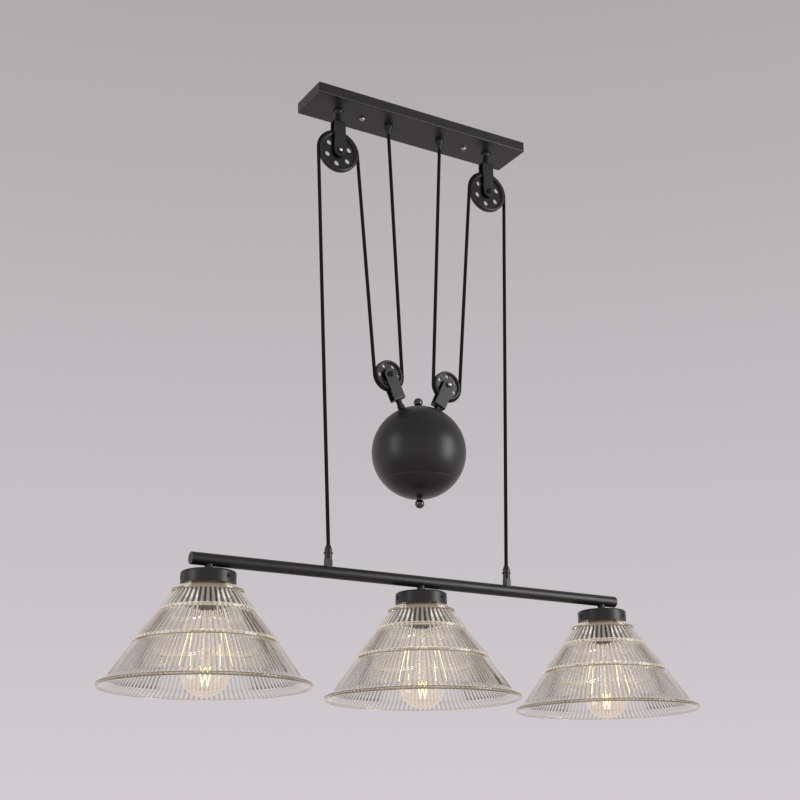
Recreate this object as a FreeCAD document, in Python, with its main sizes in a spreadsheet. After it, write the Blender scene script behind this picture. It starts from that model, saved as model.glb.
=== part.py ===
import FreeCAD, Part
import math
import os
import re

import Sketcher
from FreeCAD import Placement, Rotation, Vector

# Rise and fall pendant: a bar of three pressed-glass lamps, balanced by a ball counterweight.
# Two cords run from the bar up over an upper sheave, down under a sheave on the ball and up to
# an outlet in the canopy. The ball hangs in the two cord loops, so it moves half as far as the
# bar, the other way, and weighs twice as much.
# Millimetres, +Z up, +X along the bar. The origin is the middle of the canopy at the ceiling.

SIZES = (
    # canopy
    ("pan_length", 356, "canopy pan along the bar"),
    ("pan_width", 70, "canopy pan across the bar"),
    ("pan_depth", 16, "ceiling to the pan's underside"),
    ("pan_wall", 1.2, "sheet of the pan"),
    ("pan_corner", 2, "upright corners of the pan"),
    ("pan_edge", 1.5, "pressed lower edge of the pan"),
    ("strap_length", 320, "mounting bracket"),
    ("strap_width", 30, "mounting bracket"),
    ("strap_thick", 2, "mounting bracket"),
    ("cable_hole", 10, "radius of the hole for the supply cable"),
    ("screw_spacing", 120, "ceiling screws, centre to centre"),
    ("screw_hole", 2.5, "radius of a ceiling screw hole"),
    ("stud_offset", 89, "canopy stud from the middle"),
    ("stud_radius", 2, "M4 stud"),
    ("stud_length", 20, "from the ceiling plane"),
    ("feed_offset", 44.5, "cord outlet from the middle"),
    ("feed_radius", 6.6, "cord outlet at the pan"),
    ("feed_mouth", 3.25, "cord outlet at its mouth"),
    ("feed_length", 16, "cord outlet below the pan"),
    ("feed_rim", 1.5, "straight rim of the cord outlet"),
    ("feed_neck", 5, "threaded neck of the cord outlet"),
    ("feed_stub", 6, "height of the threaded neck"),
    ("feed_flats", 13, "nut of the cord outlet across flats"),
    ("feed_nut", 3, "nut of the cord outlet"),
    ("hanger_offset", 129, "upper sheave from the middle"),
    ("bead_radius", 7.25, "half-round bead under the pan"),
    ("sleeve_radius", 4.15, "spacer between bead and yoke"),
    ("hanger_reach", 8, "hanger screw above the pan's underside"),
    ("block_offset", 23, "terminal block from the middle"),
    ("block_length", 22, "terminal block"),
    ("block_width", 18, "terminal block"),
    ("block_height", 10, "terminal block"),
    ("clamp_radius", 1.6, "well over a clamping screw"),
    # fasteners
    ("screw_radius", 2.5, "M5 screws, axles and tie rod"),
    ("fit_gap", 0.1, "screw in a plain hole, radial"),
    ("head_radius", 4.4, "pan head of an M5 screw"),
    ("head_height", 3, "pan head of an M5 screw"),
    ("head_edge", 1.2, "bevel of a pan head"),
    ("axle_head", 2.2, "low head of an axle"),
    ("axle_edge", 0.9, "bevel of an axle's head"),
    ("axle_reach", 2, "axle beyond its yoke, inside the cap nut"),
    ("nut_flats", 8, "M5 nut across flats"),
    ("nut_height", 4, "M5 nut"),
    ("dome_radius", 3.4, "dome of a cap nut"),
    # yokes and sheaves
    ("yoke_width", 18, "yoke strap"),
    ("yoke_thick", 2, "yoke strap"),
    ("yoke_gap", 9.4, "between the cheeks of a yoke"),
    ("yoke_bend", 2.5, "outer bend of the strap"),
    ("upper_rise", 49, "upper axle to the back of its yoke"),
    ("lower_rise", 38, "lower axle to the back of its yoke"),
    ("axle_drop", 83, "upper axle below the ceiling"),
    ("running_gap", 0.05, "sheave bore on its axle, radial"),
    ("hub_radius", 6, "sheave hub"),
    ("hub_length", 8.8, "sheave hub"),
    ("rim_width", 8, "sheave rim"),
    ("rim_edge", 0.8, "bevel of the sheave rim"),
    ("rim_draft", 0.6, "slope of the rim's inner wall"),
    ("web_thick", 3, "sheave web"),
    ("groove_radius", 2.8, "groove round the cord"),
    ("upper_rim", 31, "upper sheave outside"),
    ("upper_inner", 26.2, "upper sheave rim inside"),
    ("upper_pitch", 31.8, "cord centre on the upper sheave"),
    ("upper_hole", 4, "lightening hole radius"),
    ("upper_circle", 18.8, "lightening hole circle radius"),
    ("upper_turn", 22, "first hole from the horizontal, degrees"),
    ("lower_rim", 21.2, "lower sheave outside"),
    ("lower_inner", 18, "lower sheave rim inside"),
    ("lower_pitch", 22.2, "cord centre on the lower sheave"),
    ("lower_hole", 2.8, "lightening hole radius"),
    ("lower_circle", 14.4, "lightening hole circle radius"),
    ("left_turn", 3, "first hole of the left lower sheave, degrees"),
    ("right_turn", 27, "first hole of the right lower sheave, degrees"),
    # counterweight
    ("ball_drop", 516, "ball centre below the ceiling"),
    ("ball_radius", 65.5, "ball outside"),
    ("ball_wall", 1.5, "spun shell of the ball"),
    ("seam_drop", 41.3, "seam below the ball centre"),
    ("seam_edge", 0.6, "bevel of both edges at the seam"),
    ("ballast_radius", 63, "iron discs inside the ball"),
    ("ballast_half", 30.7, "half height of the stack of discs"),
    ("finial_radius", 6.5, "round nut on the tie rod"),
    ("finial_rise", 7.5, "centre of the round nut from the ball"),
    ("finial_neck", 3.8, "neck of the round nut"),
    ("lower_lean", 24.4, "lower yokes from the vertical, degrees"),
    ("lower_reach", 116, "ball centre to lower axle"),
    ("screw_tip", 58, "ball centre to the inner end of the yoke screw"),
    ("seat_flats", 10, "nut on the ball across flats"),
    ("seat_height", 5, "nut on the ball"),
    # lamp bar
    ("bar_drop", 697, "bar axis below the ceiling"),
    ("bar_radius", 8, "bar tube outside"),
    ("bar_wall", 1.5, "bar tube"),
    ("bar_length", 662, "bar over its end caps"),
    ("cap_thick", 2, "end cap outside the tube"),
    ("cap_plug", 8, "end cap inside the tube"),
    ("cap_edge", 0.6, "bevel of the end cap"),
    ("grip_offset", 140.6, "cord grip from the middle"),
    ("grip_top", 661.6, "cord grip mouth below the ceiling"),
    ("grip_radius", 5, "cord grip body"),
    ("grip_mouth", 3.2, "cord grip mouth"),
    ("grip_taper", 5.4, "height of the tapered mouth"),
    ("collar_radius", 6.25, "collar of the cord grip"),
    ("collar_drop", 9.4, "mouth to collar"),
    ("collar_thick", 1.5, "collar of the cord grip"),
    ("grip_length", 18.9, "mouth to the grip's nut"),
    ("grip_thread", 4, "threaded end of the cord grip"),
    ("grip_flats", 11, "nut of the cord grip across flats"),
    ("grip_stub", 0.5, "grip's end below the tube's wall"),
    # lamps
    ("lamp_pitch", 306.4, "lamp to lamp"),
    ("nipple_radius", 5.5, "spacer between bar and cup"),
    ("nipple_thread", 4.9, "M10 thread of the spacer"),
    ("nipple_bore", 3.2, "cable way through the spacer"),
    ("nipple_start", 5, "bar axis to the top of the thread"),
    ("nipple_reach", 3.5, "thread inside the lampholder"),
    ("cup_radius", 34.5, "cup outside"),
    ("cup_top", 712.5, "cup top below the ceiling"),
    ("cup_height", 16, "cup"),
    ("cup_wall", 1.5, "cup"),
    ("cup_corner", 3, "rounded top edge of the cup"),
    ("cup_screw", 1.75, "pin of a cup screw"),
    ("cup_screw_drop", 721, "cup screws below the ceiling"),
    ("cup_screw_turn", 22.4, "first cup screw from the front, degrees"),
    ("plug_radius", 3.5, "threaded head of a cup screw"),
    ("plug_sink", 0.3, "head below the cup's surface"),
    ("plug_seat", 0.5, "head inside the cup's wall"),
    ("socket_radius", 1.5, "driving socket of a cup screw"),
    ("socket_depth", 0.9, "driving socket of a cup screw"),
    ("holder_radius", 20.5, "lampholder skirt"),
    ("holder_slope", 6.5, "sloped shoulder of the lampholder"),
    ("holder_end", 760, "lampholder mouth below the ceiling"),
    ("holder_wall", 1.8, "lampholder skirt"),
    ("holder_mouth", 10, "depth of the wide mouth"),
    ("holder_step", 2, "slope between mouth and socket"),
    ("holder_bore", 13.8, "E27 socket"),
    ("bulb_tip", 864, "bulb tip below the ceiling"),
    ("bulb_radius", 32, "bulb"),
    ("bulb_taper", 13, "flank of the bulb, degrees"),
    ("bulb_neck", 12.3, "glass inside the bulb cap"),
    ("bulb_curve", 2.5, "slope between the neck and the flank"),
    ("bulb_wall", 0.8, "glass of the bulb"),
    ("bulb_start", 16, "contact to the top of the glass"),
    ("bulb_cap", 13.2, "E27 cap"),
    ("bulb_top", 722, "contact of the bulb below the ceiling"),
    ("cap_length", 26, "E27 cap"),
    ("cap_shoulder", 6, "contact to the shoulder of the cap"),
    ("cap_slope", 3, "height and width of the cap's shoulder"),
    ("contact_radius", 4.5, "contact of the bulb"),
    ("contact_height", 1.5, "contact of the bulb"),
    ("stem_root", 20, "contact to the root of the glass stem"),
    ("stem_flare", 4.5, "root of the glass stem"),
    ("stem_radius", 3, "glass stem"),
    ("stem_end", 66, "contact to the end of the glass stem"),
    ("wire_radius", 0.4, "filament and its supports"),
    ("wire_pair", 1.8, "supports at the stem, from the bulb's axis"),
    ("wire_span", 7.5, "ends of the filament from the bulb's axis"),
    ("wire_top", 832, "ends of the filament below the ceiling"),
    ("wire_foot", 850, "lower bends of the filament"),
    ("wire_peak", 837, "middle bend of the filament"),
    # glass shade, outer radii and depths of its tiers
    ("glass_wall", 3.5, "pressed glass, measured level"),
    ("glass_top", 716, "lip of the glass below the ceiling"),
    ("lip_radius", 31.8, "lip that hangs on the cup screws"),
    ("lip_height", 3.25, "lip that hangs on the cup screws"),
    ("lip_edge", 0.8, "bevel of the lip"),
    ("neck_radius", 30, "neck of the glass"),
    ("neck_foot", 727.4, "foot of the neck below the ceiling"),
    ("flare_radius", 36.5, "turn of the shoulder"),
    ("flare_drop", 730.4, "turn of the shoulder below the ceiling"),
    ("shoulder_radius", 45, "ring under the neck"),
    ("shoulder_drop", 737, "ring under the neck"),
    ("ring_half", 1.2, "half height of a ring"),
    ("ring_reach", 2.4, "middle of a ring to the end of its flanks"),
    ("tier_one_start", 44, "top of the first tier"),
    ("tier_one_end", 59, "foot of the first tier"),
    ("ring_one_radius", 61.2, "ring between first and second tier"),
    ("ring_one_drop", 761.5, "ring between first and second tier"),
    ("tier_two_start", 60.5, "top of the second tier"),
    ("tier_two_end", 87, "foot of the second tier"),
    ("ring_two_radius", 89.2, "ring between second and third tier"),
    ("ring_two_drop", 798.5, "ring between second and third tier"),
    ("tier_three_start", 88, "top of the third tier"),
    ("tier_three_end", 118.5, "foot of the third tier"),
    ("tier_three_drop", 842.5, "foot of the third tier"),
    ("rim_radius", 130, "rim of the shade"),
    ("rim_drop", 851, "widest line of the rim"),
    ("rim_round", 2.5, "round edge of the rim"),
    ("rim_seat", 2, "inner foot of the third tier below its outer foot"),
    ("prism_depth", 1.3, "prisms at the foot of a tier"),
    ("prism_gap", 0.05, "crest of a prism inside the tier's cone"),
    # cords
    ("cord_radius", 2.5, "braided cord"),
    ("cord_bore", 2.6, "cord way in the glands"),
    ("core_radius", 1, "insulated core of the cord"),
    ("core_gap", 0.1, "core from the middle of its pair"),
    ("core_bend", 5, "bend of a core"),
    ("core_entry", 3, "cores below the top of the terminal block"),
    ("jacket_top", 5, "end of the jacket above the pan's underside"),
)

doc = FreeCAD.newDocument("rise_and_fall_pendant")
sheet = doc.addObject("Spreadsheet::Sheet", "sizes")
for row, (alias, number, meaning) in enumerate(SIZES, start=1):
    sheet.set(f"A{row}", meaning)
    sheet.set(f"B{row}", str(number))
    sheet.setAlias(f"B{row}", alias)
doc.recompute()

ALIAS = re.compile(r"\b[a-z]+(?:_[a-z]+)+\b")
SIDES = (("left", -1), ("right", 1))
LAMPS = (("left", "-lamp_pitch"), ("centre", "0"), ("right", "lamp_pitch"))
X_AXIS, Y_AXIS, Z_AXIS = Vector(1, 0, 0), Vector(0, 1, 0), Vector(0, 0, 1)
nodes = []


# Words of the sheet, sketches and features

def formula(text):
    """The words of the sheet in text, such as "pan_length / 2", as references to its cells."""
    return ALIAS.sub(r"sizes.\g<0>", str(text))


def size(text):
    """The value of a formula, in millimetres or degrees."""
    return float(sheet.evalExpression(formula(text)))


def bind(thing, **formulas):
    """Bind properties of an object to formulas."""
    for name, text in formulas.items():
        thing.setExpression(name, formula(text))
    return thing


def place(thing, x="0", y="0", z="0", axis=None, angle="0"):
    """Bind the place of an object, and its turn about an axis."""
    if axis is not None:
        thing.Placement = Placement(Vector(), Rotation(axis, 1))
        thing.setExpression("Placement.Rotation.Angle", formula(angle))
    for name, text in (("x", x), ("y", y), ("z", z)):
        if text != "0":
            thing.setExpression(f"Placement.Base.{name}", formula(text))
    return thing


def node(thing, label):
    """Hand in an object as a sub-part of that name."""
    thing.Label = label
    nodes.append(thing)
    return thing


def origin_feature(body, role):
    """A plane or axis of the body's own origin."""
    return next(feature for feature in body.Origin.OriginFeatures if feature.Role == role)


def fix_point(sketch, edge, end, x=None, y=None):
    """Tie a point of the sketch to formulas for its distances from the sketch's origin."""
    for kind, text, axis in (("DistanceX", x, -2), ("DistanceY", y, -1)):
        if text is None:
            continue
        if text == "0":
            sketch.addConstraint(Sketcher.Constraint("PointOnObject", edge, end, axis))
            continue
        constraint = Sketcher.Constraint(kind, -1, 1, edge, end, size(text))
        number = sketch.addConstraint(constraint)
        sketch.setExpression(f"Constraints[{number}]", formula(text))


def draw(body, plane, path=(), circles=(), raised="0"):
    """A sketch on a plane of the body, with a closed outline and round holes.

    path is a list of corners (x, y), reached by straight sides, or (x, y, cx, cy, turn), reached
    by an arc about (cx, cy), turn 1 counter-clockwise and -1 clockwise. circles is a list of
    (x, y, radius). All are formulas. raised moves the sketch along the plane's normal.
    """
    sketch = body.newObject("Sketcher::SketchObject", "sketch")
    sketch.AttachmentSupport = [(origin_feature(body, plane), "")]
    sketch.MapMode = "FlatFace"
    if raised != "0":
        sketch.setExpression("AttachmentOffset.Base.z", formula(raised))
    corners = [Vector(size(corner[0]), size(corner[1]), 0) for corner in path]
    ends = []
    for i, corner in enumerate(path):
        start = corners[i - 1]
        end = corners[i]
        if len(corner) == 2:
            sketch.addGeometry(Part.LineSegment(start, end), False)
            ends.append((1, 2))
            continue
        centre = Vector(size(corner[2]), size(corner[3]), 0)
        circle = Part.Circle(centre, Z_AXIS, (start - centre).Length)
        first, last = (start, end) if corner[4] > 0 else (end, start)
        arc = Part.ArcOfCircle(circle, circle.parameter(first), circle.parameter(last))
        sketch.addGeometry(arc, False)
        ends.append((1, 2) if corner[4] > 0 else (2, 1))
    for i, corner in enumerate(path):
        following = (i + 1) % len(path)
        joint = Sketcher.Constraint("Coincident", i, ends[i][1], following, ends[following][0])
        sketch.addConstraint(joint)
    for i, corner in enumerate(path):
        if len(corner) == 2:
            fix_point(sketch, i, ends[i][1], corner[0], corner[1])
            continue
        fix_point(sketch, i, 3, corner[2], corner[3])
        reach = corners[i] - Vector(size(corner[2]), size(corner[3]), 0)
        if abs(reach.x) > abs(reach.y):
            fix_point(sketch, i, ends[i][1], y=corner[1])
        else:
            fix_point(sketch, i, ends[i][1], x=corner[0])
    for x, y, radius in circles:
        circle = Part.Circle(Vector(size(x), size(y), 0), Z_AXIS, size(radius))
        number = sketch.addGeometry(circle, False)
        fix_point(sketch, number, 3, x, y)
        constraint = sketch.addConstraint(Sketcher.Constraint("Radius", number, size(radius)))
        sketch.setExpression(f"Constraints[{constraint}]", formula(radius))
    return sketch


def new_body(name):
    return doc.addObject("PartDesign::Body", name)


def pad(body, sketch, length, centred=False):
    feature = body.newObject("PartDesign::Pad", "pad")
    feature.Profile = sketch
    feature.Midplane = centred
    return bind(feature, Length=length)


def cut(body, sketch, length=None, forward=False, both=False):
    """Pocket through everything, or as deep as length; forward is along the sketch's normal."""
    feature = body.newObject("PartDesign::Pocket", "pocket")
    feature.Profile = sketch
    feature.Reversed = forward
    feature.Midplane = both
    if length is None:
        feature.Type = "ThroughAll"
    else:
        bind(feature, Length=length)
    doc.recompute()
    if feature.Shape.Volume > feature.BaseFeature.Shape.Volume - 0.1:
        raise ValueError(f"a pocket of {body.Name} removes nothing")
    return feature


def pattern(body, feature, axis, count):
    """The feature again, evenly round an axis of the body."""
    copies = body.newObject("PartDesign::PolarPattern", "pattern")
    copies.Originals = [feature]
    copies.Axis = (origin_feature(body, axis), [""])
    copies.Angle = 360
    copies.Occurrences = count
    body.Tip = copies
    return copies


def fillet(body, base, radius, chosen):
    """Round the edges of base for which chosen is true."""
    doc.recompute()
    edges = [f"Edge{i}" for i, edge in enumerate(base.Shape.Edges, start=1) if chosen(edge)]
    if not edges:
        raise ValueError(f"no edge of {body.Name} to round")
    feature = body.newObject("PartDesign::Fillet", "fillet")
    feature.Base = (base, edges)
    return bind(feature, Radius=radius)


def lathe(name, path):
    """A turned body: the outline (radius, height) revolved about the body's Z axis."""
    body = new_body(name)
    sketch = draw(body, "XZ_Plane", path)
    feature = body.newObject("PartDesign::Revolution", "revolution")
    feature.Profile = sketch
    feature.ReferenceAxis = (sketch, ["V_Axis"])
    feature.Angle = 360
    return body


def cylinder(name, radius, height, **where):
    solid = bind(doc.addObject("Part::Cylinder", name), Radius=radius, Height=height)
    return place(solid, **where)


def drilled(name, base, *tools):
    """The base with every tool cut away."""
    for i, tool in enumerate(tools):
        result = doc.addObject("Part::Cut", f"{name}_cut")
        result.Base = base
        result.Tool = tool
        base = result
    return base


def group(label, members):
    """Equal pieces in one node, each a solid of its own."""
    compound = doc.addObject("Part::Compound", label)
    compound.Links = members
    return node(compound, label)


def hex_nut(name, flats, height, bore):
    """A hexagon nut that stands on its own origin."""
    prism = bind(
        doc.addObject("Part::Prism", f"{name}_prism"),
        Circumradius=f"{flats} / sqrt(3)",
        Height=height,
    )
    prism.Polygon = 6
    return drilled(name, prism, cylinder(f"{name}_bore", bore, height))


def cap_nut(name):
    """A domed nut whose open face is its origin and whose dome points along its Z axis."""
    skirt = bind(
        doc.addObject("Part::Prism", f"{name}_skirt"),
        Circumradius="nut_flats / sqrt(3)",
        Height="dome_radius / 2",
    )
    skirt.Polygon = 6
    dome = place(doc.addObject("Part::Sphere", f"{name}_dome"), z="dome_radius / 4")
    bind(dome, Radius="dome_radius")
    dome.Angle1 = 0
    outside = doc.addObject("Part::Fuse", f"{name}_outside")
    outside.Base = skirt
    outside.Tool = dome
    return outside


# Canopy: pan, bracket, outlets and terminal block

def canopy_pan():
    """The pan: a box open to the ceiling, with holes for hangers, studs and cord outlets."""
    body = place(new_body("canopy_pan"), z="-pan_depth")
    half_length = "pan_length / 2"
    half_width = "pan_width / 2"
    corners = [
        (f"-{half_length}", f"-{half_width}"),
        (half_length, f"-{half_width}"),
        (half_length, half_width),
        (f"-{half_length}", half_width),
    ]
    block = pad(body, draw(body, "XY_Plane", corners), "pan_depth")
    upright = fillet(body, block, "pan_corner", lambda edge: edge.BoundBox.ZLength > 1)
    fillet(body, upright, "pan_edge", lambda edge: edge.BoundBox.ZMax < 0.01)
    inner_length = f"({half_length} - pan_wall)"
    inner_width = f"({half_width} - pan_wall)"
    hollow = [
        (f"-{inner_length}", f"-{inner_width}"),
        (inner_length, f"-{inner_width}"),
        (inner_length, inner_width),
        (f"-{inner_length}", inner_width),
    ]
    cut(body, draw(body, "XY_Plane", hollow, raised="pan_wall"), "pan_depth", forward=True)
    holes = []
    for sign in ("-", ""):
        holes.append((f"{sign}hanger_offset", "0", "screw_radius + fit_gap"))
        holes.append((f"{sign}stud_offset", "0", "stud_radius + fit_gap"))
        holes.append((f"{sign}feed_offset", "0", "feed_neck + fit_gap"))
    cut(body, draw(body, "XY_Plane", circles=holes), forward=True)
    node(body, "canopy_pan")


def mounting_bracket():
    """Flat strap under the ceiling, with its cable, screw and stud holes."""
    body = place(new_body("mounting_bracket"), z="-strap_thick")
    x, y = "strap_length / 2", "strap_width / 2"
    outline = [(f"-{x}", f"-{y}"), (x, f"-{y}"), (x, y), (f"-{x}", y)]
    holes = [("0", "0", "cable_hole")]
    for sign in ("-", ""):
        holes.append((f"{sign}screw_spacing / 2", "0", "screw_hole"))
        holes.append((f"{sign}stud_offset", "0", "stud_radius"))
    pad(body, draw(body, "XY_Plane", outline, holes), "strap_thick")
    node(body, "mounting_bracket")


def canopy_studs():
    """Two studs pressed into the bracket, and the domed nuts that hold the pan on them."""
    studs = []
    nuts = []
    for side, sign in SIDES:
        x = f"{sign} * stud_offset"
        stud = cylinder(f"stud_{side}", "stud_radius", "stud_length", x=x, z="-stud_length")
        studs.append(stud)
        nut = place(cap_nut(f"cap_{side}"), x=x, z="-pan_depth", axis=X_AXIS, angle="180")
        hole = cylinder(f"cap_hole_{side}", "stud_radius", "stud_length", x=x, z="-stud_length")
        nuts.append(drilled(f"cap_{side}", nut, hole))
    group("bracket_studs", studs)
    group("canopy_cap_nuts", nuts)


def feed_glands():
    """Tapered cord outlets, each held by a nut inside the pan."""
    bodies = []
    nuts = []
    mouth = "-pan_depth - feed_length"
    for side, sign in SIDES:
        path = [
            ("cord_bore", mouth),
            ("feed_mouth", mouth),
            ("feed_radius", "-pan_depth - feed_rim"),
            ("feed_radius", "-pan_depth"),
            ("feed_neck", "-pan_depth"),
            ("feed_neck", "-pan_depth + feed_stub"),
            ("cord_bore", "-pan_depth + feed_stub"),
        ]
        x = f"{sign} * feed_offset"
        bodies.append(place(lathe(f"feed_{side}", path), x=x))
        nut = hex_nut(f"feed_nut_{side}", "feed_flats", "feed_nut", "feed_neck")
        nuts.append(place(nut, x=x, z="-pan_depth + pan_wall"))
    group("feed_glands", bodies)
    group("feed_gland_nuts", nuts)


def terminal_block():
    """Three-way terminal block beside the cable hole, with clamping screw holes below."""
    body = place(new_body("terminal_block"), x="block_offset", z="-strap_thick - block_height")
    x, y = "block_length / 2", "block_width / 2"
    outline = [(f"-{x}", f"-{y}"), (x, f"-{y}"), (x, y), (f"-{x}", y)]
    pad(body, draw(body, "XY_Plane", outline), "block_height")
    wells = [
        (f"{end} * block_length / 4", way, "clamp_radius")
        for end in (-1, 1)
        for way in ("-block_width / 3", "0", "block_width / 3")
    ]
    cut(body, draw(body, "XY_Plane", circles=wells), "block_height / 2", forward=True)
    node(body, "terminal_block")


# Pulleys: yokes, sheaves, axles and what carries them

def yoke(name, rise):
    """A bent strap over a sheave: origin at the axle, the back of the strap at +Z."""
    body = new_body(name)
    half = "yoke_width / 2"
    side_view = [(half, rise), (f"-{half}", rise), (f"-{half}", "0"), (half, "0", "0", "0", 1)]
    outside = "yoke_gap + 2 * yoke_thick"
    block = pad(body, draw(body, "XZ_Plane", side_view), outside, centred=True)
    top = size(rise) - 0.01
    along_x = fillet(
        body, block, "yoke_bend", lambda edge: edge.BoundBox.ZMin > top and edge.BoundBox.XLength > 1
    )
    doc.recompute()
    if along_x.Shape.Volume > block.Shape.Volume:
        raise ValueError(f"the bends of {name} add material")
    slot = [
        ("-yoke_gap / 2", f"{rise} - yoke_thick"),
        ("-yoke_gap / 2", f"-{half} - 1"),
        ("yoke_gap / 2", f"-{half} - 1"),
        ("yoke_gap / 2", f"{rise} - yoke_thick"),
    ]
    cut(body, draw(body, "YZ_Plane", slot), "2 * yoke_width", both=True)
    axle_hole = draw(body, "XZ_Plane", circles=[("0", "0", "screw_radius + fit_gap")])
    cut(body, axle_hole, "2 * yoke_width", both=True)
    screw_hole = draw(body, "XY_Plane", circles=[("0", "0", "screw_radius + fit_gap")])
    cut(body, screw_hole, forward=True)
    return body


def sheave(name, rim, inner, pitch, hole, circle):
    """A grooved wheel that turns about its Y axis, with a hub, a thin web and six holes."""
    body = new_body(name)
    bore = "screw_radius + running_gap"
    hub, face, web = "hub_length / 2", "rim_width / 2", "web_thick / 2"
    lip = f"sqrt(groove_radius ^ 2 - ({pitch} - {rim}) ^ 2)"
    path = [
        (bore, f"-{hub}"),
        ("hub_radius", f"-{hub}"),
        ("hub_radius", f"-{web}"),
        (f"{inner} - rim_draft", f"-{web}"),
        (inner, f"-{face}"),
        (f"{rim} - rim_edge", f"-{face}"),
        (rim, f"-{face} + rim_edge"),
        (rim, f"-{lip}"),
        (rim, lip, pitch, "0", -1),
        (rim, f"{face} - rim_edge"),
        (f"{rim} - rim_edge", face),
        (inner, face),
        (f"{inner} - rim_draft", web),
        ("hub_radius", web),
        ("hub_radius", hub),
        (bore, hub),
    ]
    sketch = draw(body, "XY_Plane", path)
    wheel = body.newObject("PartDesign::Revolution", "revolution")
    wheel.Profile = sketch
    wheel.ReferenceAxis = (sketch, ["V_Axis"])
    wheel.Angle = 360
    first = cut(body, draw(body, "XZ_Plane", circles=[(circle, "0", hole)]), "2 * rim_width", both=True)
    pattern(body, first, "Y_Axis", 6)
    return body


def axle(name):
    """A screw through a yoke and its sheave: head at +Y, thread at -Y."""
    half = "yoke_gap / 2 + yoke_thick"
    body = lathe(
        name,
        [
            ("0", f"-{half} - axle_reach"),
            ("screw_radius", f"-{half} - axle_reach"),
            ("screw_radius", half),
            ("head_radius", half),
            ("head_radius", f"{half} + axle_head - axle_edge"),
            ("head_radius - axle_edge", f"{half} + axle_head"),
            ("0", f"{half} + axle_head"),
        ],
    )
    return body


def axle_nut(name):
    """The domed nut of an axle, on the thread beyond the -Y cheek."""
    nut = cap_nut(name)
    hole = cylinder(f"{name}_hole", "screw_radius", "axle_reach")
    return drilled(name, nut, hole)


def hanger_screw(name, length):
    """A pan-head screw: origin under its head, shank along +Z."""
    return lathe(
        name,
        [
            ("0", "-head_height"),
            ("head_radius - head_edge", "-head_height"),
            ("head_radius", "-head_height + head_edge"),
            ("head_radius", "0"),
            ("screw_radius", "0"),
            ("screw_radius", length),
            ("0", length),
        ],
    )


def upper_pulleys():
    """The two pulleys that hang from the pan."""
    screws, beads, sleeves, nuts, axles, axle_nuts = [], [], [], [], [], []
    bead_height = "sqrt(bead_radius ^ 2 - sleeve_radius ^ 2)"
    back = "-axle_drop + upper_rise"
    hole = "screw_radius + fit_gap"
    for side, sign in SIDES:
        x = f"{sign} * hanger_offset"
        node(place(yoke(f"upper_yoke_{side}", "upper_rise"), x=x, z="-axle_drop"), f"upper_yoke_{side}")
        wheel = sheave(
            f"upper_sheave_{side}", "upper_rim", "upper_inner", "upper_pitch", "upper_hole", "upper_circle"
        )
        place(wheel, x=x, z="-axle_drop", axis=Y_AXIS, angle="-upper_turn")
        node(wheel, f"upper_sheave_{side}")
        bead = lathe(
            f"bead_{side}",
            [
                (hole, f"-{bead_height}"),
                ("sleeve_radius", f"-{bead_height}"),
                ("bead_radius", "0", "0", "0", 1),
                (hole, "0"),
            ],
        )
        beads.append(place(bead, x=x, z="-pan_depth"))
        sleeve = lathe(
            f"sleeve_{side}",
            [
                (hole, back),
                ("sleeve_radius", back),
                ("sleeve_radius", f"-pan_depth - {bead_height}"),
                (hole, f"-pan_depth - {bead_height}"),
            ],
        )
        sleeves.append(place(sleeve, x=x))
        shank = "axle_drop - upper_rise + yoke_thick - pan_depth + hanger_reach"
        screw = hanger_screw(f"hanger_{side}", shank)
        screws.append(place(screw, x=x, z=f"{back} - yoke_thick"))
        nut = hex_nut(f"hanger_nut_{side}", "nut_flats", "nut_height", "screw_radius")
        nuts.append(place(nut, x=x, z="-pan_depth + pan_wall"))
        pin = place(axle(f"upper_axle_{side}"), x=x, z="-axle_drop", axis=X_AXIS, angle="-90")
        axles.append(pin)
        end = place(
            axle_nut(f"upper_axle_nut_{side}"),
            x=x,
            y="-yoke_gap / 2 - yoke_thick",
            z="-axle_drop",
            axis=X_AXIS,
            angle="90",
        )
        axle_nuts.append(end)
    group("hanger_beads", beads)
    group("hanger_sleeves", sleeves)
    group("hanger_screws", screws)
    group("hanger_nuts", nuts)
    group("upper_axles", axles)
    group("upper_axle_nuts", axle_nuts)


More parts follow.
